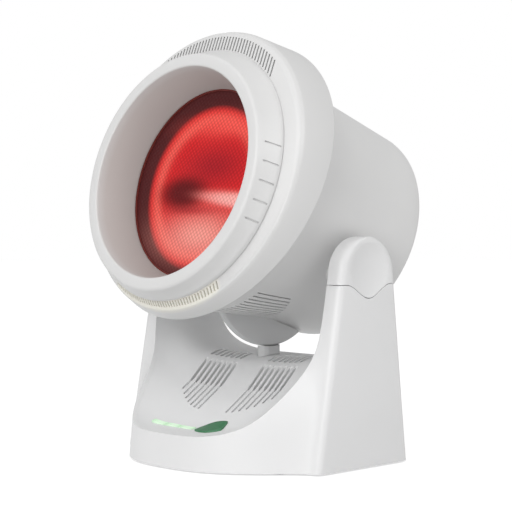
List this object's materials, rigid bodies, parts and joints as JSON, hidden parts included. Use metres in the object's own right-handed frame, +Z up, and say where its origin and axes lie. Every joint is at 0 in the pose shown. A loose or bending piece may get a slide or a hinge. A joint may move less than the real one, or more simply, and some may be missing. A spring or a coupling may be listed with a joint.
{
  "type": "infrared heat therapy lamp",
  "caption": "Table-top infrared heat lamp: a round head with a recessed red filter glass tilts between the arms of a U-shaped stand with a vented, scooped deck.",
  "frame": {"origin": "on the floor under the middle of the whole lamp's outline", "axes": "+Z up, the lamp faces -Y, and +X runs towards the arm on the right for someone who stands behind the lamp"},
  "size_m": [0.204, 0.2098, 0.2924],
  "materials": {
    "white_housing": "satin white moulding of the stand",
    "white_head": "satin white moulding of the head",
    "white_deck": "fine matt, very light grey",
    "grey_base": "matt light grey",
    "light_guide": "milky green-white, lit from below",
    "green_button": "satin mid green",
    "black_rubber": "matt black",
    "red_silicone": "matt dark red",
    "red_glass": "deep red filter glass with a fine dimpled back",
    "bright_aluminium": "bright rolled sheet",
    "plated_steel": "zinc plated",
    "quartz": "clear quartz",
    "ceramic": "off-white steatite",
    "board_laminate": "green circuit board",
    "transformer_core": "varnished core with yellow tape",
    "black_bakelite": "black moulding"
  },
  "bodies": {
    "stand": {"outer_shell": "white_housing", "deck_panel": "white_deck", "arm_cap_right": "white_housing", "arm_cap_left": "white_housing", "neck_block": "white_deck", "bottom_plate": "grey_base", "light_strip": "light_guide", "button_switch": "black_bakelite", "control_board": "board_laminate", "mains_board": "board_laminate", "transformer": "transformer_core", "relay": "black_bakelite", "terminal_block": "ceramic", "cord_gland": "black_rubber", "foot_rear_right": "black_rubber", "foot_rear_left": "black_rubber", "foot_front_right": "black_rubber", "foot_front_left": "black_rubber", "base_screw_1": "plated_steel", "base_screw_2": "plated_steel", "base_screw_3": "plated_steel", "base_screw_4": "plated_steel", "pivot_bush_right": "white_deck", "pivot_bush_left": "white_deck"},
    "head": {"bezel_ring": "white_head", "front_shell": "white_head", "rear_shell": "white_head", "tilt_keel": "white_deck", "glass_gasket": "red_silicone", "filter_glass": "red_glass", "reflector": "bright_aluminium", "glass_clamp_ring": "plated_steel", "clamp_screw_1": "plated_steel", "clamp_screw_2": "plated_steel", "clamp_screw_3": "plated_steel", "clamp_screw_4": "plated_steel", "heat_lamp": "quartz", "lamp_bracket": "plated_steel", "thermal_cutout": "black_bakelite", "heat_shield": "bright_aluminium", "lamp_base_right": "ceramic", "lamp_base_left": "ceramic", "lamp_holder_right": "ceramic", "lamp_holder_left": "ceramic", "friction_washer_right": "plated_steel", "friction_washer_left": "plated_steel", "pivot_screw_right": "plated_steel", "pivot_screw_left": "plated_steel"},
    "button": {"power_button": "green_button"}
  },
  "joints": [
    {"name": "head_tilt", "type": "hinge", "parent": "stand", "child": "head", "pos_m": [0, 0.00931, 0.132], "axis": [-1, 0, 0], "range_deg": [-14.65, 15.35]},
    {"name": "power_push", "type": "slide", "parent": "stand", "child": "button", "axis": [0, 0, -1], "range_m": [0, 0.0015], "stiffness_N_per_m": 800, "springref_m": -0.0003}
  ]
}
